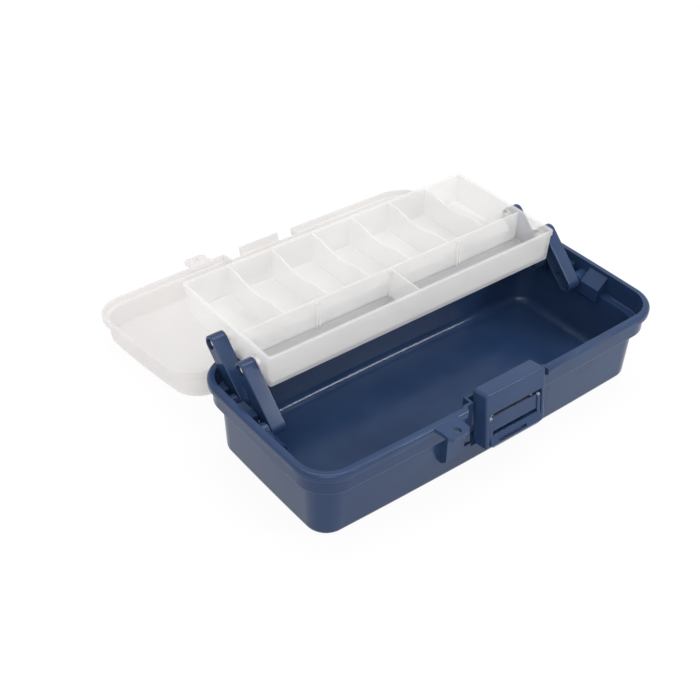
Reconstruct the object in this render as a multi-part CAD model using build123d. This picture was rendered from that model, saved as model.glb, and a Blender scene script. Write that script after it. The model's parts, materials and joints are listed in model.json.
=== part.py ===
from build123d import *
from math import cos, radians, sin
import os

# One-tray tackle box, shown open. Millimetres, Z up, X along the box,
# the latch on the -Y side. The origin is the middle of the footprint.

# Overall sizes
LENGTH = 330.0
DEPTH = 152.0
BASE_HEIGHT = 66.4
LATCH_HALF = 28.0
LID_DEPTH = 25.5
CORNER_R = 28.0
SIDE_BOW = 2.3
END_BOW = 0.8
WALL = 2.0
LID_WALL = 1.8

# Fits between pieces
RUN_FIT = 0.05
HELD_FIT = 0.02
PLAY = 0.5
SEAM = 0.2

# Base tub
BAND_INSET = 3.3
BAND_Z = BASE_HEIGHT - 20.1
LOWER_TOP_INSET = 9.5
LOWER_BOTTOM_INSET = 11.3
LEDGE_Z = BAND_Z + WALL
FLOOR = 2.2
FOOT_R = 4.5
BEAD_H = 6.2
BEAD_Z = BASE_HEIGHT - BEAD_H
BAY_HALF = LATCH_HALF + 9.0
BAY_FACE_Y = 5.0 - DEPTH / 2
BAY_FLOOR_Z = BASE_HEIGHT - 36.4
PAD_LEFT = -LATCH_HALF - 24.5
PAD_RIGHT = LATCH_HALF + 19.0
PAD_FOOT_Z = BASE_HEIGHT - 46.4
POCKET_HALF = LATCH_HALF + 1.6
POCKET_Y = 11.3 - DEPTH / 2
POCKET_FLOOR_Z = BASE_HEIGHT - 39.4

# Padlock tabs
TAB_X = -LATCH_HALF - 29.8
TAB_HALF = 9.6
TAB_TIP_Y = -DEPTH / 2 - 14.5
TAB_HOLE_Y = TAB_TIP_Y + 5.5
TAB_HOLE_R = 3.25
TAB_T = 3.0

# Lid hinge
HINGE_Y = DEPTH / 2 + 5.0
HINGE_Z = BASE_HEIGHT - 9.2
HINGE_X = 95.0
KNUCKLE = 16.0
EAR = 8.0
EAR_R = 4.5
HINGE_PIN_R = 1.9
LID_OPEN = 188.4

# Lid shell, as closed
LID_Z = BASE_HEIGHT + SEAM
FLANGE_H = 6.4
LID_INSET = 3.7
LID_TOP_INSET = 4.2
LID_TOP_Z = BASE_HEIGHT + LID_DEPTH
CROWN_R = 4.0
NOTCH_HALF = LATCH_HALF + 7.0
NOTCH_TOP_Z = BASE_HEIGHT + 13.6
CATCH_LEFT = 4.0 - LATCH_HALF
CATCH_RIGHT = LATCH_HALF - 13.0
NOTCH_Y = 13.4 - DEPTH / 2
CATCH_Y = 8.2 - DEPTH / 2
CATCH_T = 2.0
CATCH_Z = BASE_HEIGHT + 4.2
CATCH_FOOT_Z = BASE_HEIGHT - 5.4

# Carrying handle in the lid, as closed
WELL_DEPTH = 7.6
HANDLE_HALF = 58.0
HANDLE_REACH = 33.0
HANDLE_PIVOT_Y = 14.0
HANDLE_DROP = 4.1
HANDLE_T = 6.2
HANDLE_BAR = 11.0
HANDLE_TRUNNION_R = 2.2

# Swing arms
ARM_LENGTH = 44.0
ARM_LEAN = 46.0
ARM_R = 6.25
END_SPACE = 27.5
ARM_IN_X = LENGTH / 2 - END_SPACE
ARM_T = 11.8
ARM_OUT_X = ARM_IN_X + ARM_T
ARM_RECESS = 4.5
PIVOT_FRONT_Y = 79.9 - DEPTH / 2
PIVOT_GAP = 36.9
PIVOT_Z = BASE_HEIGHT - 14.7
PIN_R = 3.0
PIN_TIP_X = ARM_IN_X + 9.9

# Tray
TRAY_GAP = 1.5
TRAY_HALF = ARM_IN_X - TRAY_GAP
PIN_SETBACK = 16.05
PIN_DROP = 13.13
TRAY_HEIGHT = 26.9
TRAY_FRONT_Y = PIVOT_FRONT_Y + ARM_LENGTH * sin(radians(ARM_LEAN)) - PIN_SETBACK
TRAY_DEPTH = DEPTH - 40.0
TRAY_TOP_Z = PIVOT_Z + ARM_LENGTH * cos(radians(ARM_LEAN)) + PIN_DROP
TRAY_BOTTOM_Z = TRAY_TOP_Z - TRAY_HEIGHT
TRAY_R = 4.0
TRAY_WALL = 1.8
TRAY_LIP = 1.0
TRAY_LIP_H = 3.0
TRAY_DRAFT = 1.2
AISLE_Y = TRAY_FRONT_Y + 37.5
CELL = (2 * TRAY_HALF - 2.85) / 7
GUIDE_GAP = 1.7
DIVIDER_T = 1.5

# Latch, in its own upright frame with the lever pivot at zero
LEVER_Y = -DEPTH / 2 - 1.4
LEVER_Z = BASE_HEIGHT - 14.0
LATCH_LEAN = 7.5
LATCH_LEG = 3.0
LATCH_FACE = -6.3
LATCH_BACK = 6.9
LATCH_TOP = 23.9
LATCH_FOOT = -20.8
WINDOW_TOP = 6.9
FRAME_PIVOT_Z = -9.0
CHEEK_T = 3.0
LUG_R = 3.1
LUG_T = 3.5
WEB_BACK = -3.6
LATCH_PIN_R = 1.5

BACK_HOLE_X = ARM_IN_X + 6.0
TRAY_PIN_X = TRAY_HALF - 2.6
WALL_IN_X = LENGTH / 2 - BAND_INSET - WALL


def outline(inset, z, end_bow=END_BOW, side_bow=SIDE_BOW):
    # Rounded rectangle with gently bowed sides, at one height.
    a = LENGTH / 2 - inset
    b = DEPTH / 2 - inset
    xa = a - end_bow
    yb = b - side_bow
    sides = [
        ThreePointArc((-xa, -yb), (0, -b), (xa, -yb)),
        ThreePointArc((xa, -yb), (a, 0), (xa, yb)),
        ThreePointArc((xa, yb), (0, b), (-xa, yb)),
        ThreePointArc((-xa, yb), (-a, 0), (-xa, -yb)),
    ]
    face = make_face(Curve() + sides)
    face = fillet(face.vertices(), CORNER_R - inset)
    return Pos(0, 0, z) * face


def taper(low, high):
    # Straight-sided solid between two outlines.
    return loft([low, high], ruled=True)


def block(x0, x1, y0, y1, z0, z1):
    # Plain block between two corners.
    mid = Pos((x0 + x1) / 2, (y0 + y1) / 2, (z0 + z1) / 2)
    return mid * Box(x1 - x0, y1 - y0, z1 - z0)


def rod_x(x0, x1, y, z, radius):
    # Round bar along X.
    place = Pos((x0 + x1) / 2, y, z) * Rot(0, 90, 0)
    return place * Cylinder(radius, abs(x1 - x0))


def prism_x(points, x0, x1):
    # Straight prism along X from a closed Y-Z outline.
    face = make_face(Polyline(*points, close=True))
    plane = Plane(origin=(x0, 0, 0), x_dir=(0, 1, 0), z_dir=(1, 0, 0))
    return extrude(plane * face, amount=x1 - x0)


def ring_edges(shape, z):
    # Edges that lie wholly at one height.
    return shape.edges().filter_by_position(Axis.Z, z - 0.01, z + 0.01)


def mirror_x(shape):
    return mirror(shape, about=Plane.YZ)


def tab_plate(z0, z1):
    # Padlock tab: a plate with clipped corners and a hole.
    clip = 3.0
    x0 = TAB_X - TAB_HALF
    x1 = TAB_X + TAB_HALF
    root = -DEPTH / 2 + SIDE_BOW + 1.0
    points = [
        (x0 - 1.5, root),
        (x0, -DEPTH / 2 - 5.0),
        (x0, TAB_TIP_Y + clip),
        (x0 + clip, TAB_TIP_Y),
        (x1 - clip, TAB_TIP_Y),
        (x1, TAB_TIP_Y + clip),
        (x1, -DEPTH / 2 - 5.0),
        (x1 + 1.5, root),
    ]
    face = make_face(Polyline(*points, close=True))
    plate = extrude(Pos(0, 0, z0) * face, amount=z1 - z0)
    hole = Pos(TAB_X, TAB_HOLE_Y, (z0 + z1) / 2) * Cylinder(TAB_HOLE_R, z1 - z0 + 2)
    return plate - hole


def base_shell():
    lower = taper(outline(LOWER_BOTTOM_INSET, 0), outline(LOWER_TOP_INSET, BAND_Z))
    lower = fillet(ring_edges(lower, 0), FOOT_R)
    band = extrude(outline(BAND_INSET, BAND_Z), amount=BASE_HEIGHT - BAND_Z)
    band = fillet(ring_edges(band, BAND_Z), 1.2)
    bead = extrude(outline(0, BEAD_Z), amount=BEAD_H)
    bead = fillet(ring_edges(bead, BASE_HEIGHT), 2.4)
    bead = fillet(ring_edges(bead, BEAD_Z), 1.0)
    return lower + band + bead


def base_cavity():
    low = LOWER_BOTTOM_INSET + WALL
    high = LOWER_TOP_INSET + WALL
    lower = taper(outline(low, FLOOR), outline(high, LEDGE_Z + 0.5))
    lower = fillet(ring_edges(lower, FLOOR), 7.0)
    upper = extrude(outline(BAND_INSET + WALL, LEDGE_Z), amount=BASE_HEIGHT)
    upper = fillet(ring_edges(upper, LEDGE_Z), 1.0)
    return lower + upper


def front_bay():
    # What is cut from the outside in front for the latch.
    top = BASE_HEIGHT + 1
    rim = -DEPTH / 2 - 0.2
    plan = [
        (-BAY_HALF - 12, -DEPTH),
        (-BAY_HALF - 12, rim),
        (-BAY_HALF - 1.5, rim),
        (-BAY_HALF + 1.5, BAY_FACE_Y),
        (BAY_HALF - 1.5, BAY_FACE_Y),
        (BAY_HALF + 1.5, rim),
        (BAY_HALF + 12, rim),
        (BAY_HALF + 12, -DEPTH),
    ]
    face = make_face(Polyline(*plan, close=True))
    face = fillet([v for v in face.vertices() if abs(v.X) < BAY_HALF + 2], 2.4)
    bay = extrude(Pos(0, 0, BAY_FLOOR_Z) * face, amount=top - BAY_FLOOR_Z)
    pocket = prism_x(
        [
            (-DEPTH, POCKET_FLOOR_Z),
            (BAY_FACE_Y, POCKET_FLOOR_Z),
            (POCKET_Y, POCKET_FLOOR_Z + 4.0),
            (POCKET_Y, top),
            (-DEPTH, top),
        ],
        -POCKET_HALF,
        POCKET_HALF,
    )
    return bay + pocket


def front_backing():
    # The wall behind the bay, which stands into the box.
    top = BASE_HEIGHT
    bay = block(-BAY_HALF - WALL, BAY_HALF + WALL, BAY_FACE_Y - 1, BAY_FACE_Y + WALL, BAY_FLOOR_Z, top)
    bay = fillet(bay.edges().filter_by(Axis.Z).group_by(Axis.Y)[-1], 1.9)
    deep = POCKET_Y + WALL + 0.2
    pocket = prism_x(
        [
            (BAY_FACE_Y - 1, POCKET_FLOOR_Z - WALL),
            (BAY_FACE_Y + 3.0, POCKET_FLOOR_Z - WALL),
            (deep, POCKET_FLOOR_Z + 3.0),
            (deep, top),
            (BAY_FACE_Y - 1, top),
        ],
        -POCKET_HALF - WALL,
        POCKET_HALF + WALL,
    )
    return bay + pocket


def front_pad():
    # Raised field below the band behind the latch.
    face = -DEPTH / 2 + BAND_INSET + 0.3
    pad = prism_x(
        [
            (face, PAD_FOOT_Z + 4.0),
            (face, BAND_Z + 2.0),
            (POCKET_Y + 2.7, BAND_Z + 2.0),
            (POCKET_Y + 2.7, PAD_FOOT_Z),
            (face + 4.5, PAD_FOOT_Z),
        ],
        PAD_LEFT,
        PAD_RIGHT,
    )
    return pad


def lever_lugs():
    # Two ears in the pocket that carry the lever pin.
    lugs = []
    outer = LATCH_HALF - LATCH_LEG - 0.6 - CHEEK_T - PLAY
    for side in (-1, 1):
        x0 = min(side * outer, side * (outer - LUG_T))
        lug = rod_x(x0, x0 + LUG_T, LEVER_Y, LEVER_Z, LUG_R)
        root = block(x0, x0 + LUG_T, LEVER_Y, POCKET_Y + 1, LEVER_Z - LUG_R, LEVER_Z + LUG_R)
        lugs.append(lug + root)
    hole = rod_x(-LATCH_HALF, LATCH_HALF, LEVER_Y, LEVER_Z, LATCH_PIN_R + HELD_FIT)
    return [lug - hole for lug in lugs]


def hinge_ears():
    ears = []
    for side in (-1, 1):
        for hand in (-1, 1):
            near = KNUCKLE / 2 + PLAY
            x0 = side * HINGE_X + min(hand * near, hand * (near + EAR))
            barrel = rod_x(x0, x0 + EAR, HINGE_Y, HINGE_Z, EAR_R)
            web = prism_x(
                [
                    (DEPTH / 2 - 5.5, HINGE_Z - 8.2),
                    (DEPTH / 2 - 2.5, HINGE_Z - 8.2),
                    (HINGE_Y + 1.0, HINGE_Z - EAR_R + 0.05),
                    (HINGE_Y, HINGE_Z + EAR_R),
                    (DEPTH / 2 - 5.5, HINGE_Z + EAR_R),
                ],
                x0,
                x0 + EAR,
            )
            ears.append(barrel + web)
    return ears


def end_blocks():
    # Blocks and round bosses on one inside end, which back the arms.
    near = ARM_OUT_X + 0.6
    far = WALL_IN_X + 1.0
    front = PIVOT_FRONT_Y
    rear = PIVOT_FRONT_Y + PIVOT_GAP
    low = BAND_Z - 3.3
    top = BASE_HEIGHT - 7.4
    wedge = [(near, low), (near, top - 4.5), (far, top + 5.0), (far, low)]
    parts = [
        block(near, far, front + 9.5, rear - 9.5, low, top),
        block(near, far, rear + 8.5, rear + 15.0, low, top - 1.0),
        extrude(Plane.XZ.offset(-front + 6.0) * make_face(Polyline(*wedge, close=True)), amount=18.5),
    ]
    for y in (PIVOT_FRONT_Y, rear):
        boss = rod_x(near, far, y, PIVOT_Z, PIN_R + 3.2)
        saddle = block(near, far, y - PIN_R - 3.2, y + PIN_R + 3.2, low, PIVOT_Z)
        parts.append(boss + saddle)
    return parts


def base_tub():
    shell = base_shell()
    tub = shell + front_pad()
    tub -= base_cavity()
    tub += front_backing()
    tub -= front_bay()
    tub += lever_lugs()
    tub += hinge_ears()
    inside = [one & shell for one in end_blocks()]
    tub += inside
    tub += [mirror_x(one) for one in inside]
    tub += tab_plate(BASE_HEIGHT - 0.2 - TAB_T, BASE_HEIGHT - 0.2)
    for side in (-1, 1):
        span = KNUCKLE / 2 + PLAY + EAR
        x0 = side * HINGE_X - span - 1
        tub -= rod_x(x0, x0 + 2 * span + 2, HINGE_Y, HINGE_Z, HINGE_PIN_R + HELD_FIT)
        for y in (PIVOT_FRONT_Y, PIVOT_FRONT_Y + PIVOT_GAP):
            tub -= rod_x(side * ARM_IN_X, side * (WALL_IN_X - 2.0), y, PIVOT_Z, PIN_R + HELD_FIT)
    tub -= rod_x(-LATCH_HALF, LATCH_HALF, LEVER_Y, LEVER_Z, LATCH_PIN_R + HELD_FIT)
    return tub


def opened(shape):
    # Turns a piece of the closed lid to where it lies when open.
    axle = Pos(0, HINGE_Y, HINGE_Z)
    back = Pos(0, -HINGE_Y, -HINGE_Z)
    return axle * Rot(-LID_OPEN, 0, 0) * back * shape


def well_box(grow, z0, z1):
    # Space of the handle well, grown by some wall thickness.
    x = HANDLE_HALF + 3.5 + grow
    y0 = HANDLE_PIVOT_Y - HANDLE_REACH - HANDLE_BAR / 2 - 3.0 - grow
    y1 = HANDLE_PIVOT_Y + 7.0 + grow
    well = block(-x, x, y0, y1, z0, z1)
    return fillet(well.edges().filter_by(Axis.Z), 5.0 + grow)


def lid_closed():
    flange = extrude(outline(0, LID_Z), amount=FLANGE_H)
    flange = fillet(ring_edges(flange, LID_Z + FLANGE_H), 1.0)
    wall = taper(outline(LID_INSET, LID_Z + 1), outline(LID_TOP_INSET, LID_TOP_Z, 2.8, 1.35))
    wall = fillet(ring_edges(wall, LID_TOP_Z), CROWN_R)
    rim = extrude(outline(LID_WALL, LID_Z - 1), amount=FLANGE_H - LID_WALL + 1)
    inner = taper(
        outline(LID_INSET + LID_WALL, LID_Z - 1),
        outline(LID_TOP_INSET + LID_WALL, LID_TOP_Z - LID_WALL, 2.8, 1.35),
    )
    inner = fillet(ring_edges(inner, LID_TOP_Z - LID_WALL), CROWN_R - LID_WALL)
    t = LID_WALL
    bump = block(-NOTCH_HALF - t, NOTCH_HALF + t, -DEPTH, NOTCH_Y + t, LID_Z, NOTCH_TOP_Z + t)
    floor_z = LID_TOP_Z - WELL_DEPTH
    hollow = rim + inner - bump - well_box(t, floor_z - t, LID_TOP_Z)
    notch = block(-NOTCH_HALF, NOTCH_HALF, -DEPTH, NOTCH_Y, LID_Z - 1, NOTCH_TOP_Z)
    lid = flange + wall - hollow - notch
    lid -= well_box(0, floor_z, LID_TOP_Z + 1)
    catch_back = CATCH_Y + CATCH_T
    lid += block(CATCH_LEFT, CATCH_RIGHT, CATCH_Y, catch_back, CATCH_FOOT_Z, CATCH_Z)
    lid += block(CATCH_LEFT, CATCH_RIGHT, CATCH_Y, NOTCH_Y + 1.0, CATCH_Z - 3.6, CATCH_Z)
    lid += tab_plate(LID_Z, LID_Z + TAB_T)
    for side in (-1, 1):
        lid += lid_knuckle(side)
        x = side * (HANDLE_HALF + 2.0)
        z = LID_TOP_Z - HANDLE_DROP
        lid -= rod_x(x, x + side * 3.4, HANDLE_PIVOT_Y, z, HANDLE_TRUNNION_R + RUN_FIT)
    return lid


def lid_knuckle(side):
    x0 = side * HINGE_X - KNUCKLE / 2
    x1 = x0 + KNUCKLE
    barrel = rod_x(x0, x1, HINGE_Y, HINGE_Z, EAR_R - 0.2)
    strap = prism_x(
        [
            (DEPTH / 2 - 4.0, LID_Z + 1.2),
            (DEPTH / 2 + 1.0, LID_Z + 0.2),
            (DEPTH / 2 + 2.6, HINGE_Z + 2.0),
            (HINGE_Y + EAR_R - 0.25, HINGE_Z),
            (HINGE_Y + EAR_R - 0.25, LID_Z + 2.0),
            (HINGE_Y + 1.5, LID_Z + FLANGE_H - 1.2),
            (DEPTH / 2 - 4.0, LID_Z + FLANGE_H - 0.6),
        ],
        x0,
        x1,
    )
    hole = rod_x(x0 - 1, x1 + 1, HINGE_Y, HINGE_Z, HINGE_PIN_R + RUN_FIT)
    return barrel + strap - hole


def handle_closed():
    # Fold-flat U handle with a thick grip and two short trunnions.
    z = LID_TOP_Z - HANDLE_DROP
    y0 = HANDLE_PIVOT_Y - HANDLE_REACH - HANDLE_BAR / 2
    y1 = HANDLE_PIVOT_Y + 3.2
    outer = block(-HANDLE_HALF, HANDLE_HALF, y0, y1, z - HANDLE_T / 2, z + HANDLE_T / 2)
    outer = fillet(outer.edges().filter_by(Axis.Z).sort_by(Axis.Y)[:2], 12.0)
    inner = block(
        -HANDLE_HALF + 9,
        HANDLE_HALF - 9,
        y0 + HANDLE_BAR,
        y1 + 1,
        z - HANDLE_T,
        z + HANDLE_T,
    )
    inner = fillet(inner.edges().filter_by(Axis.Z).sort_by(Axis.Y)[:2], 6.0)
    bar = outer - inner
    tips = bar.edges().filter_by(Axis.X).group_by(Axis.Y)[-1]
    bar = fillet(tips, HANDLE_T / 2 - 0.1)
    for side in (-1, 1):
        x = side * (HANDLE_HALF - 1)
        bar += rod_x(x, x + side * 5.8, HANDLE_PIVOT_Y, z, HANDLE_TRUNNION_R)
    return bar


def arm(side, pivot_y):
    # One swing arm, leaning back, with its pivot holes.
    lean = radians(ARM_LEAN)
    x0 = ARM_IN_X
    slot = SlotCenterToCenter(ARM_LENGTH, 2 * ARM_R)
    upright = Plane(origin=(x0, 0, 0), x_dir=(0, 0, 1), z_dir=(1, 0, 0))
    bar = extrude(upright * (Pos(ARM_LENGTH / 2, 0) * slot), amount=ARM_T)
    bar = fillet(bar.edges().filter_by(GeomType.LINE).filter_by(Axis.Z), 0.8)
    recess_len = ARM_LENGTH - 11.0
    pocket = SlotCenterToCenter(recess_len, 2 * (ARM_R - 1.5))
    low = extrude(upright * (Pos(recess_len / 2, 0) * pocket), amount=ARM_RECESS)
    rib = block(x0 + 1.0, x0 + ARM_RECESS, -ARM_R + 1, ARM_R - 1, 11.0, 12.2)
    bar -= low - rib
    bar -= rod_x(x0 - 1, ARM_OUT_X + 1, 0, 0, PIN_R + RUN_FIT) & block(
        BACK_HOLE_X, ARM_OUT_X + 2, -9, 9, -9, 9
    )
    top = Pos(0, 0, ARM_LENGTH)
    bar -= top * rod_x(x0 - 1, ARM_OUT_X + 1, 0, 0, PIN_R + RUN_FIT)
    bar -= top * rod_x(PIN_TIP_X - 0.4, ARM_OUT_X + 1, 0, 0, PIN_R + 1.2)
    bar = Pos(0, pivot_y, PIVOT_Z) * Rot(-ARM_LEAN, 0, 0) * bar
    return bar if side > 0 else mirror_x(bar)


def tray_pin_y(pivot_y):
    return pivot_y + ARM_LENGTH * sin(radians(ARM_LEAN))


def tray_pin_z():
    return PIVOT_Z + ARM_LENGTH * cos(radians(ARM_LEAN))


def tray_face(half, front, back, z, radius):
    face = Rectangle(2 * half, back - front)
    face = fillet(face.vertices(), radius)
    return Pos(0, (front + back) / 2, z) * face


def tray_solid(grow, z0, z1):
    # Tapered block of the tray between two heights, grown or shrunk.
    def at(z):
        part = (TRAY_TOP_Z - z) / (TRAY_TOP_Z - TRAY_BOTTOM_Z)
        inset = TRAY_LIP + TRAY_DRAFT * part - grow
        back = TRAY_FRONT_Y + TRAY_DEPTH
        return tray_face(
            TRAY_HALF - inset,
            TRAY_FRONT_Y + inset,
            back - inset,
            z,
            max(TRAY_R - inset, 2.2),
        )

    return taper(at(z0), at(z1))


def tray():
    body = tray_solid(0, TRAY_BOTTOM_Z, TRAY_TOP_Z)
    body = fillet(ring_edges(body, TRAY_BOTTOM_Z), 1.8)
    lip = tray_solid(TRAY_LIP, TRAY_TOP_Z - TRAY_LIP_H, TRAY_TOP_Z)
    body += lip
    floor_z = TRAY_BOTTOM_Z + TRAY_WALL
    inside = tray_solid(-TRAY_WALL, floor_z, TRAY_TOP_Z + 1)
    inside = fillet(ring_edges(inside, floor_z), 1.6)
    walls = [block(-TRAY_HALF, TRAY_HALF, AISLE_Y - 0.8, AISLE_Y + 0.8, floor_z - 1, TRAY_TOP_Z - 0.4)]
    rear = TRAY_FRONT_Y + TRAY_DEPTH
    for step in (-2.5, -1.5, -0.5, 0.5, 1.5, 2.5):
        x = step * CELL
        cross = block(x - 0.75, x + 0.75, AISLE_Y, rear, floor_z - 1, TRAY_TOP_Z - 0.4)
        scoop = rod_x(x - 2, x + 2, (AISLE_Y + rear) / 2 + 1, TRAY_TOP_Z + 66.0, 70.0)
        walls.append(cross - scoop)
    for x in (-TRAY_HALF / 2, 0, TRAY_HALF / 2):
        for y in (TRAY_FRONT_Y + 2.4, AISLE_Y - 0.8):
            walls += guide_ribs(x, y, floor_z)
    for y in (TRAY_FRONT_Y + 11.5, TRAY_FRONT_Y + 18.8, TRAY_FRONT_Y + 26.1):
        walls.append(block(-TRAY_HALF + 9, TRAY_HALF - 9, y - 0.4, y + 0.4, floor_z - 0.5, floor_z + 0.5))
    core = inside
    for one in walls:
        core -= one
    body -= core
    for side in (-1, 1):
        for pivot_y in (PIVOT_FRONT_Y, PIVOT_FRONT_Y + PIVOT_GAP):
            y = tray_pin_y(pivot_y)
            boss_out = side * (ARM_IN_X - 0.4)
            body += rod_x(side * TRAY_PIN_X, boss_out, y, tray_pin_z(), PIN_R + 3.0)
            body -= rod_x(side * TRAY_PIN_X, boss_out + side, y, tray_pin_z(), PIN_R + HELD_FIT)
    return body


def guide_ribs(x, y, floor_z):
    # A pair of upright ribs that hold a divider's edge.
    deep = 1.8
    y0, y1 = (y - 1.0, y + deep) if y < AISLE_Y - 5 else (y - deep, y + 0.5)
    ribs = []
    for hand in (-1, 1):
        near = hand * GUIDE_GAP / 2
        far = hand * (GUIDE_GAP / 2 + 1.3)
        ribs.append(block(x + min(near, far), x + max(near, far), y0, y1, floor_z - 1, TRAY_TOP_Z - 2.0))
    return ribs


def tray_divider():
    # Loose cross wall of the front bin, held between the middle ribs.
    floor_z = TRAY_BOTTOM_Z + TRAY_WALL
    t = DIVIDER_T / 2
    y0 = TRAY_FRONT_Y + TRAY_LIP + TRAY_DRAFT + TRAY_WALL + 0.15
    y1 = AISLE_Y - 0.8 - 0.15
    return block(-t, t, y0, y1, floor_z + 0.6, TRAY_TOP_Z - 0.8)


def tray_pin(side, pivot_y):
    y = tray_pin_y(pivot_y)
    z = tray_pin_z()
    shaft = rod_x(side * (TRAY_PIN_X + 0.1), side * PIN_TIP_X, y, z, PIN_R)
    return fillet(ring_edges_x(shaft, side * PIN_TIP_X), 1.2)


def ring_edges_x(shape, x):
    return shape.edges().filter_by_position(Axis.X, x - 0.01, x + 0.01)


def base_pin(side, pivot_y):
    x0 = side * (BACK_HOLE_X + 0.4)
    x1 = side * (WALL_IN_X - 2.3)
    pin = rod_x(x0, x1, pivot_y, PIVOT_Z, PIN_R)
    return chamfer(ring_edges_x(pin, x0), 0.5)


def hinge_pin(side):
    span = KNUCKLE / 2 + PLAY + EAR - 0.4
    pin = rod_x(side * HINGE_X - span, side * HINGE_X + span, HINGE_Y, HINGE_Z, HINGE_PIN_R)
    pin = chamfer(ring_edges_x(pin, side * HINGE_X - span), 0.3)
    return chamfer(ring_edges_x(pin, side * HINGE_X + span), 0.3)


def latched(shape):
    # Puts a piece drawn upright about the lever pivot in its leaning place.
    return Pos(0, LEVER_Y, LEVER_Z) * Rot(-LATCH_LEAN, 0, 0) * shape


def frame_upright():
    # Outer frame: two legs joined by a hooked top and a front plate.
    inner = LATCH_HALF - LATCH_LEG
    outer = block(-LATCH_HALF, LATCH_HALF, LATCH_FACE, LATCH_BACK, LATCH_FOOT, LATCH_TOP)
    outer = fillet(outer.edges().filter_by(Axis.Y).group_by(Axis.Z)[-1], 3.0)
    face_edges = outer.edges().filter_by_position(Axis.Y, LATCH_FACE - 0.01, LATCH_FACE + 0.01)
    outer = fillet(face_edges, 1.2)
    heel = outer.edges().filter_by(Axis.X).group_by(Axis.Z)[0].sort_by(Axis.Y)[-1:]
    outer = fillet(heel, 5.0)
    space = block(-inner, inner, LATCH_FACE - 1, LATCH_BACK + 1, LATCH_FOOT - 1, WINDOW_TOP)
    under = LATCH_TOP - LATCH_LEG
    back = block(-inner, inner, LATCH_FACE + LATCH_LEG, LATCH_BACK + 1, WINDOW_TOP - 1, under)
    body = outer - space - back
    hole = rod_x(-inner - 1.8, inner + 1.8, 0, FRAME_PIVOT_Z, LATCH_PIN_R + RUN_FIT)
    return body - hole


def lever_upright():
    # Thumb lever: two cheeks, a recessed web and a flared lip.
    out_x = LATCH_HALF - LATCH_LEG - 0.6
    in_x = out_x - CHEEK_T
    cheek_outline = [
        (-5.8, 1.8),
        (-4.4, 3.4),
        (2.4, 3.4),
        (3.4, 2.4),
        (3.4, -12.0),
        (0.5, -13.6),
        (-3.0, -21.6),
        (-6.4, -21.9),
        (-7.9, -19.2),
        (-5.8, -11.6),
    ]
    lever = [prism_x(cheek_outline, x0, x0 + CHEEK_T) for x0 in (-out_x, in_x)]
    web = block(-in_x - 1, in_x + 1, WEB_BACK - 1.4, WEB_BACK, -9.1, 2.8)
    lip = prism_x(
        [
            (-5.7, -11.9),
            (-3.7, -11.9),
            (-4.4, -21.4),
            (-6.4, -21.9),
            (-7.9, -19.2),
        ],
        -in_x - 1,
        in_x + 1,
    )
    lever = lever[0] + lever[1] + web + lip
    corner = 4.0
    for side in (-1, 1):
        wedge = Pos(side * out_x, -5, LATCH_FOOT - 1.1) * Rot(0, 45, 0) * Box(corner, 20, corner)
        lever -= wedge
    groove = SlotCenterToCenter(24.0, 2.6)
    plane = Plane(origin=(-3.5, -6.9, -17.0), x_dir=(1, 0, 0), z_dir=(0, -1, 0))
    lever -= extrude(plane * groove, amount=1.4, both=True)
    lever -= rod_x(-LATCH_HALF, LATCH_HALF, 0, 0, LATCH_PIN_R + RUN_FIT)
    lever -= rod_x(-LATCH_HALF, LATCH_HALF, 0, FRAME_PIVOT_Z, LATCH_PIN_R + HELD_FIT)
    return lever


def lever_pin():
    end = LATCH_HALF - LATCH_LEG - 0.8
    pin = rod_x(-end, end, 0, 0, LATCH_PIN_R)
    return latched(pin)


def frame_pin():
    end = LATCH_HALF - LATCH_LEG + 1.6
    pin = rod_x(-end, end, 0, FRAME_PIVOT_Z, LATCH_PIN_R)
    return latched(pin)


def save(shape, node):
    export_step(shape, "parts/" + node + ".step")


def build():
    os.makedirs("parts", exist_ok=True)
    rear_y = PIVOT_FRONT_Y + PIVOT_GAP
    save(base_tub(), "base_tub")
    save(opened(lid_closed()), "lid_shell")
    save(opened(handle_closed()), "carry_handle")
    save(tray(), "tray")
    save(tray_divider(), "tray_divider")
    for side, hand in ((-1, "left"), (1, "right")):
        for pivot_y, place in ((PIVOT_FRONT_Y, "front"), (rear_y, "rear")):
            tail = hand + "_" + place
            save(arm(side, pivot_y), "arm_" + tail)
            save(tray_pin(side, pivot_y), "tray_pin_" + tail)
            save(base_pin(side, pivot_y), "arm_pin_" + tail)
        save(hinge_pin(side), "hinge_pin_" + hand)
    save(latched(lever_upright()), "latch_lever")
    save(latched(frame_upright()), "latch_frame")
    save(lever_pin(), "lever_pin")
    save(frame_pin(), "frame_pin")


build()
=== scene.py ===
import json
import math
import bpy
import numpy as np
from mathutils import Matrix, Vector

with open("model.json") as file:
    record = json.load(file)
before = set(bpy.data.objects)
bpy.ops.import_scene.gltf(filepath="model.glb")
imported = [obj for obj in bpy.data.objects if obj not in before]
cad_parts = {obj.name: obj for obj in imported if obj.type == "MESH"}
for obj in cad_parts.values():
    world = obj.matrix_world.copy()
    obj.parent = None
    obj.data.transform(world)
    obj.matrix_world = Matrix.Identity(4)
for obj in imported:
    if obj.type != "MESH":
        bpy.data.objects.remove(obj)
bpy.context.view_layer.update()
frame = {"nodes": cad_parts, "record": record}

mm = 0.001
print("stage 1: frame loaded,", len(frame["nodes"]), "nodes")


def hexColour(code):
    # sRGB hex to the linear values that the shader wants
    parts = [int(code[i:i + 2], 16) / 255 for i in (1, 3, 5)]
    linear = [c / 12.92 if c <= 0.04045 else ((c + 0.055) / 1.055) ** 2.4 for c in parts]
    return (*linear, 1.0)


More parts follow.
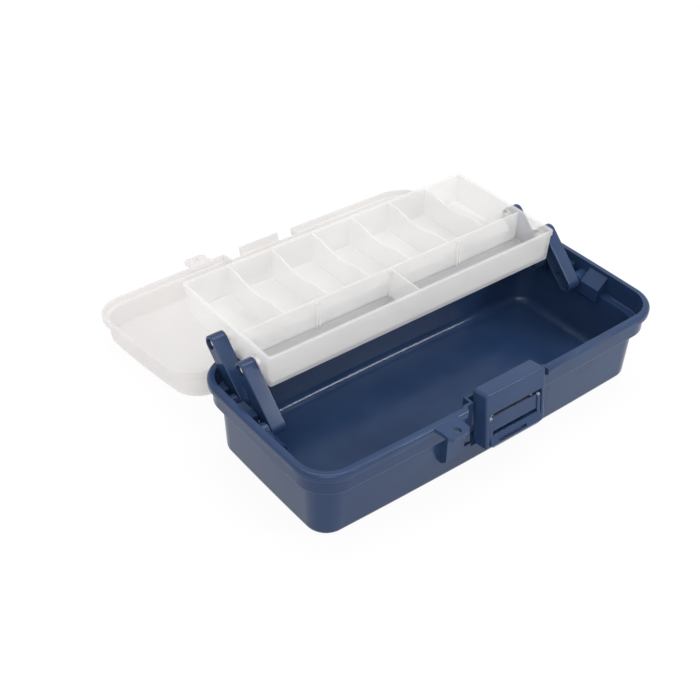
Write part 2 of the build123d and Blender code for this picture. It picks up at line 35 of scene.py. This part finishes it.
def addNode(tree, kind, settings=None, links=None):
    # One node with its settings (sockets by name or number, else properties) and its links
    node = tree.nodes.new(kind)
    for key, value in (settings or {}).items():
        if isinstance(key, int) or key in node.inputs:
            node.inputs[key].default_value = value
        else:
            setattr(node, key, value)
    for key, source in (links or {}).items():
        tree.links.new(source, node.inputs[key])
    return node


def noise(tree, place, sizeMm, detail):
    # Value noise whose lumps are about the given size
    node = addNode(tree, "ShaderNodeTexNoise", {"Scale": 1 / (sizeMm * mm), "Detail": detail},
                   {"Vector": place})
    return node.outputs["Fac"]


def bump(tree, height, strength, depthMm, normal=None):
    # Relief of the given depth, laid over another normal where there is one
    links = {"Height": height}
    if normal:
        links["Normal"] = normal
    node = addNode(tree, "ShaderNodeBump", {"Strength": strength, "Distance": depthMm * mm}, links)
    return node.outputs["Normal"]


def newMaterial(name):
    # Empty node material with its output, and object coordinates to read
    material = bpy.data.materials.new(name)
    material.use_nodes = True
    tree = material.node_tree
    tree.nodes.clear()
    output = addNode(tree, "ShaderNodeOutputMaterial")
    coords = addNode(tree, "ShaderNodeTexCoord")
    return material, tree, output, coords.outputs["Object"]


def ramp(tree, source, stops):
    # Colour ramp from a list of (place, hex)
    node = addNode(tree, "ShaderNodeValToRGB", links={"Fac": source})
    band = node.color_ramp
    while len(band.elements) < len(stops):
        band.elements.new(0.5)
    for element, (place, shade) in zip(band.elements, stops):
        element.position = place
        element.color = hexColour(shade)
    return node.outputs["Color"]


navyPlastic = {
    "deep": "#243759",
    "bright": "#2b4061",
    "cloudMm": 45,
    "grainMm": 0.55,
    "grainStrength": 0.25,
    "grainDepthMm": 0.03,
    "rippleMm": 26,
    "rippleStrength": 0.35,
    "rippleDepthMm": 0.35,
    "roughLow": 0.13,
    "roughHigh": 0.21,
    "scuffMm": 7.0,
    "scuffStretch": (0.12, 1.0, 1.0),
    "scuffTurn": (0.2, 0.1, 0.6),
    "scuffLow": 0.12,
    "scuffHigh": 0.42,
    "ior": 1.49,
    "shine": 0.26,
    "edgeMm": 0.45,
}


def mouldedNavyPolypropylene(p):
    # Injection-moulded polypropylene with navy masterbatch: satin skin, a fine eroded grain
    # that breaks up highlights, and slow sink ripples that make long reflections wander.
    material, tree, output, place = newMaterial("mouldedNavyPolypropylene")
    cloud = noise(tree, place, p["cloudMm"], 3.0)
    colour = ramp(tree, cloud, [(0.3, p["deep"]), (0.7, p["bright"])])
    # Handling scuffs: long thin streaks of noise that only roughen the skin
    drag = addNode(tree, "ShaderNodeMapping",
                   {"Scale": p["scuffStretch"], "Rotation": p["scuffTurn"]}, {"Vector": place})
    scuff = noise(tree, drag.outputs["Vector"], p["scuffMm"], 5.0)
    both = addNode(tree, "ShaderNodeMath", {"operation": "MULTIPLY"}, {0: cloud, 1: scuff})
    rough = addNode(tree, "ShaderNodeMapRange",
                    {"From Min": p["scuffLow"], "From Max": p["scuffHigh"],
                     "To Min": p["roughLow"], "To Max": p["roughHigh"]},
                    {"Value": both.outputs[0]})
    grain = noise(tree, place, p["grainMm"], 2.0)
    ripple = noise(tree, place, p["rippleMm"], 1.0)
    soft = addNode(tree, "ShaderNodeBevel", {"samples": 4, "Radius": p["edgeMm"] * mm})
    wave = bump(tree, ripple, p["rippleStrength"], p["rippleDepthMm"], soft.outputs["Normal"])
    fine = bump(tree, grain, p["grainStrength"], p["grainDepthMm"], wave)
    shader = addNode(tree, "ShaderNodeBsdfPrincipled",
                     {"IOR": p["ior"], "Specular IOR Level": p["shine"]},
                     {"Base Color": colour, "Roughness": rough.outputs["Result"], "Normal": fine})
    tree.links.new(shader.outputs["BSDF"], output.inputs["Surface"])
    return material


trayPlastic = {
    "name": "frostedClearTrayPolypropylene",
    "body": "#f5f4f3",
    "thin": "#f9f8f7",
    "hazeMm": 60,
    "grainMm": 0.5,
    "grainStrength": 0.2,
    "grainDepthMm": 0.03,
    "rippleMm": 30,
    "rippleStrength": 0.3,
    "rippleDepthMm": 0.3,
    "ior": 1.49,
    "rough": 0.34,
    "through": 0.36,
    "clear": 0.58,
}
lidPlastic = {
    "name": "frostedClearLidPolypropylene",
    "body": "#f0eeed",
    "thin": "#f5f3f2",
    "hazeMm": 60,
    "grainMm": 0.5,
    "grainStrength": 0.2,
    "grainDepthMm": 0.03,
    "rippleMm": 30,
    "rippleStrength": 0.3,
    "rippleDepthMm": 0.3,
    "ior": 1.49,
    "rough": 0.34,
    "through": 0.52,
    "clear": 0.30,
}


def frostedClearPolypropylene(p):
    # Natural, uncoloured polypropylene: a milky wall that scatters light right through it, so
    # stacked walls stay pale, lets shapes behind show faintly, and has a satin skin.
    material, tree, output, place = newMaterial(p["name"])
    haze = noise(tree, place, p["hazeMm"], 2.0)
    colour = ramp(tree, haze, [(0.3, p["body"]), (0.7, p["thin"])])
    grain = noise(tree, place, p["grainMm"], 2.0)
    ripple = noise(tree, place, p["rippleMm"], 1.0)
    wave = bump(tree, ripple, p["rippleStrength"], p["rippleDepthMm"])
    fine = bump(tree, grain, p["grainStrength"], p["grainDepthMm"], wave)
    skin = addNode(tree, "ShaderNodeBsdfPrincipled", {"IOR": p["ior"], "Roughness": p["rough"]},
                   {"Base Color": colour, "Normal": fine})
    milk = addNode(tree, "ShaderNodeBsdfTranslucent", links={"Color": colour, "Normal": fine})
    wall = addNode(tree, "ShaderNodeMixShader", {0: p["through"]},
                   {1: skin.outputs[0], 2: milk.outputs[0]})
    straight = addNode(tree, "ShaderNodeBsdfTransparent", {"Color": (1, 1, 1, 1)})
    mix = addNode(tree, "ShaderNodeMixShader", {0: p["clear"]},
                  {1: wall.outputs[0], 2: straight.outputs[0]})
    tree.links.new(mix.outputs[0], output.inputs["Surface"])
    return material


whitePlastic = {
    "body": "#dad8d2",
    "shade": "#e4e2dc",
    "grainMm": 0.8,
    "grainStrength": 0.2,
    "grainDepthMm": 0.03,
    "ior": 1.48,
    "rough": 0.42,
    "glowThrough": 0.1,
    "glowMm": 1.2,
}


def naturalWhiteAcetal(p):
    # Moulded acetal: dense ivory white with a dull even skin.
    material, tree, output, place = newMaterial("naturalWhiteAcetal")
    grain = noise(tree, place, p["grainMm"], 2.0)
    colour = ramp(tree, grain, [(0.35, p["body"]), (0.65, p["shade"])])
    fine = bump(tree, grain, p["grainStrength"], p["grainDepthMm"])
    shader = addNode(tree, "ShaderNodeBsdfPrincipled",
                     {"IOR": p["ior"], "Roughness": p["rough"],
                      "Subsurface Weight": p["glowThrough"], "Subsurface Scale": p["glowMm"] * mm},
                     {"Base Color": colour, "Normal": fine})
    tree.links.new(shader.outputs["BSDF"], output.inputs["Surface"])
    return material


pinSteelPaintedShade = {
    # Both tones are near black: painted shade for the dark hinge gaps the pins sit in
    "light": "#2c2e33",
    "dark": "#222428",
    "drawMm": 0.4,
    "drawStretch": (0.05, 1, 1),
    "drawStrength": 0.25,
    "drawDepthMm": 0.02,
    "rough": 0.42,
}


def shadeDarkenedSteelWire(p):
    # Steel rod in a near-black colour, which is painted shade for the shadowed hinge gaps it sits
    # in; fine lengthwise die lines along X stretch its dull highlight.
    material, tree, output, place = newMaterial("shadeDarkenedSteelWire")
    lie = addNode(tree, "ShaderNodeMapping", {"Scale": p["drawStretch"]}, {"Vector": place})
    lines = noise(tree, lie.outputs["Vector"], p["drawMm"], 2.0)
    colour = ramp(tree, lines, [(0.35, p["dark"]), (0.65, p["light"])])
    fine = bump(tree, lines, p["drawStrength"], p["drawDepthMm"])
    shader = addNode(tree, "ShaderNodeBsdfPrincipled", {"Metallic": 1.0, "Roughness": p["rough"]},
                     {"Base Color": colour, "Normal": fine})
    tree.links.new(shader.outputs["BSDF"], output.inputs["Surface"])
    return material


finishes = {
    "navy_plastic": mouldedNavyPolypropylene(navyPlastic),
    "frosted_plastic": frostedClearPolypropylene(trayPlastic),
    "white_plastic": naturalWhiteAcetal(whitePlastic),
    "steel": shadeDarkenedSteelWire(pinSteelPaintedShade),
}
lidFinish = frostedClearPolypropylene(lidPlastic)
nodeSlot = {row["node"]: row["material_slot"] for row in frame["record"]["subparts"]}
for name, piece in frame["nodes"].items():
    for index in range(len(piece.material_slots)):
        ofLid = name in ("lid_shell", "carry_handle")
        piece.material_slots[index].material = lidFinish if ofLid else finishes[nodeSlot[name]]
print("stage 2: finishes on", len(nodeSlot), "nodes")


studio = {
    "floorSize": 12.0,
    "floorColour": "#f4f4f4",
    "floorSpeck": "#fafafa",
    "speckScale": 400.0,
    "floorGlow": 0.93,
    "fill": 0.7,
    "lamps": [
        # name, place, aim, width, height, watts
        ("windowLeft", (-0.95, -1.25, 1.5), (0, 0.05, 0.04), 1.2, 1.2, 11),
        ("overhead", (0.2, 0.3, 1.9), (0, 0.05, 0), 1.6, 1.0, 16),
        ("softboxRight", (0.95, -1.15, 1.2), (0, 0.03, 0.02), 0.42, 0.42, 9),
    ],
}


def buildFloor(p):
    # Large level square that only the camera, gloss and clear plastic see as near white
    half = p["floorSize"] / 2
    mesh = bpy.data.meshes.new("studioFloor")
    corners = [(-half, -half, 0), (half, -half, 0), (half, half, 0), (-half, half, 0)]
    mesh.from_pydata(corners, [], [(0, 1, 2, 3)])
    floor = bpy.data.objects.new("studioFloor", mesh)
    bpy.context.scene.collection.objects.link(floor)
    material, tree, output, place = newMaterial("paleFloorPaper")
    speck = addNode(tree, "ShaderNodeTexNoise", {"Scale": p["speckScale"], "Detail": 2.0},
                    {"Vector": place})
    colour = ramp(tree, speck.outputs["Fac"], [(0.3, p["floorColour"]), (0.7, p["floorSpeck"])])
    paper = addNode(tree, "ShaderNodeBsdfDiffuse", links={"Color": colour})
    glow = addNode(tree, "ShaderNodeEmission", {"Color": (1, 1, 1, 1), "Strength": 1.0})
    seen = seenRay(tree, p["floorGlow"])
    mix = addNode(tree, "ShaderNodeMixShader",
                  links={0: seen, 1: paper.outputs[0], 2: glow.outputs[0]})
    tree.links.new(mix.outputs[0], output.inputs["Surface"])
    mesh.materials.append(material)


def seenRay(tree, amount):
    # The given amount for rays that come straight from the camera, a gloss or a clear wall, else 0
    path = addNode(tree, "ShaderNodeLightPath")
    first = addNode(tree, "ShaderNodeMath", {"operation": "MAXIMUM"},
                    {0: path.outputs["Is Camera Ray"], 1: path.outputs["Is Glossy Ray"]})
    both = addNode(tree, "ShaderNodeMath", {"operation": "MAXIMUM"},
                   {0: first.outputs[0], 1: path.outputs["Is Transmission Ray"]})
    part = addNode(tree, "ShaderNodeMath", {"operation": "MULTIPLY", 1: amount},
                   {0: both.outputs[0]})
    return part.outputs[0]


def buildWorld(p):
    # Even white surround: full white where it is seen, softer where it only lights
    world = bpy.data.worlds.new("studioSurround")
    world.use_nodes = True
    tree = world.node_tree
    tree.nodes.clear()
    seen = seenRay(tree, 1.0 - p["fill"])
    level = addNode(tree, "ShaderNodeMath", {"operation": "ADD", 1: p["fill"]}, {0: seen})
    back = addNode(tree, "ShaderNodeBackground", {"Color": (1, 1, 1, 1)},
                   {"Strength": level.outputs[0]})
    output = addNode(tree, "ShaderNodeOutputWorld")
    tree.links.new(back.outputs[0], output.inputs["Surface"])
    bpy.context.scene.world = world


def buildLamps(p):
    for name, place, aim, width, height, watts in p["lamps"]:
        data = bpy.data.lights.new(name, "AREA")
        data.shape = "RECTANGLE"
        data.size, data.size_y, data.energy = width, height, watts
        lamp = bpy.data.objects.new(name, data)
        bpy.context.scene.collection.objects.link(lamp)
        lamp.location = place
        lamp.rotation_euler = (Vector(aim) - Vector(place)).to_track_quat("-Z", "Y").to_euler()


cameraView = {
    "focalPixels": 1199.3,
    "imagePixels": 700,
    "sensorMm": 36.0,
    "azimuth": 38.72,
    "elevation": 38.33,
    "roll": 1.39,
    "target": (-0.0412, 0.0510, 0.0400),
    "distance": 0.9037,
}


def buildCamera(p):
    # Looks along (azimuth from +Y towards +X, elevation downwards), rolled about that line
    turn, tilt, roll = (math.radians(p[k]) for k in ("azimuth", "elevation", "roll"))
    level = math.cos(tilt)
    ahead = Vector((math.sin(turn) * level, math.cos(turn) * level, -math.sin(tilt)))
    right = Vector((math.cos(turn), -math.sin(turn), 0))
    up = right.cross(ahead)
    rightR = right * math.cos(roll) + up * math.sin(roll)
    upR = up * math.cos(roll) - right * math.sin(roll)
    data = bpy.data.cameras.new("photoCamera")
    data.sensor_width = p["sensorMm"]
    data.lens = p["focalPixels"] / p["imagePixels"] * p["sensorMm"]
    camera = bpy.data.objects.new("photoCamera", data)
    bpy.context.scene.collection.objects.link(camera)
    turnMatrix = Matrix((rightR, upR, -ahead)).transposed()
    stand = Vector(p["target"]) - ahead * p["distance"]
    camera.matrix_world = Matrix.Translation(stand) @ turnMatrix.to_4x4()
    bpy.context.scene.camera = camera


buildFloor(studio)
buildWorld(studio)
buildLamps(studio)
buildCamera(cameraView)
bpy.context.scene.view_settings.view_transform = "Standard"
print("stage 3: studio ready")
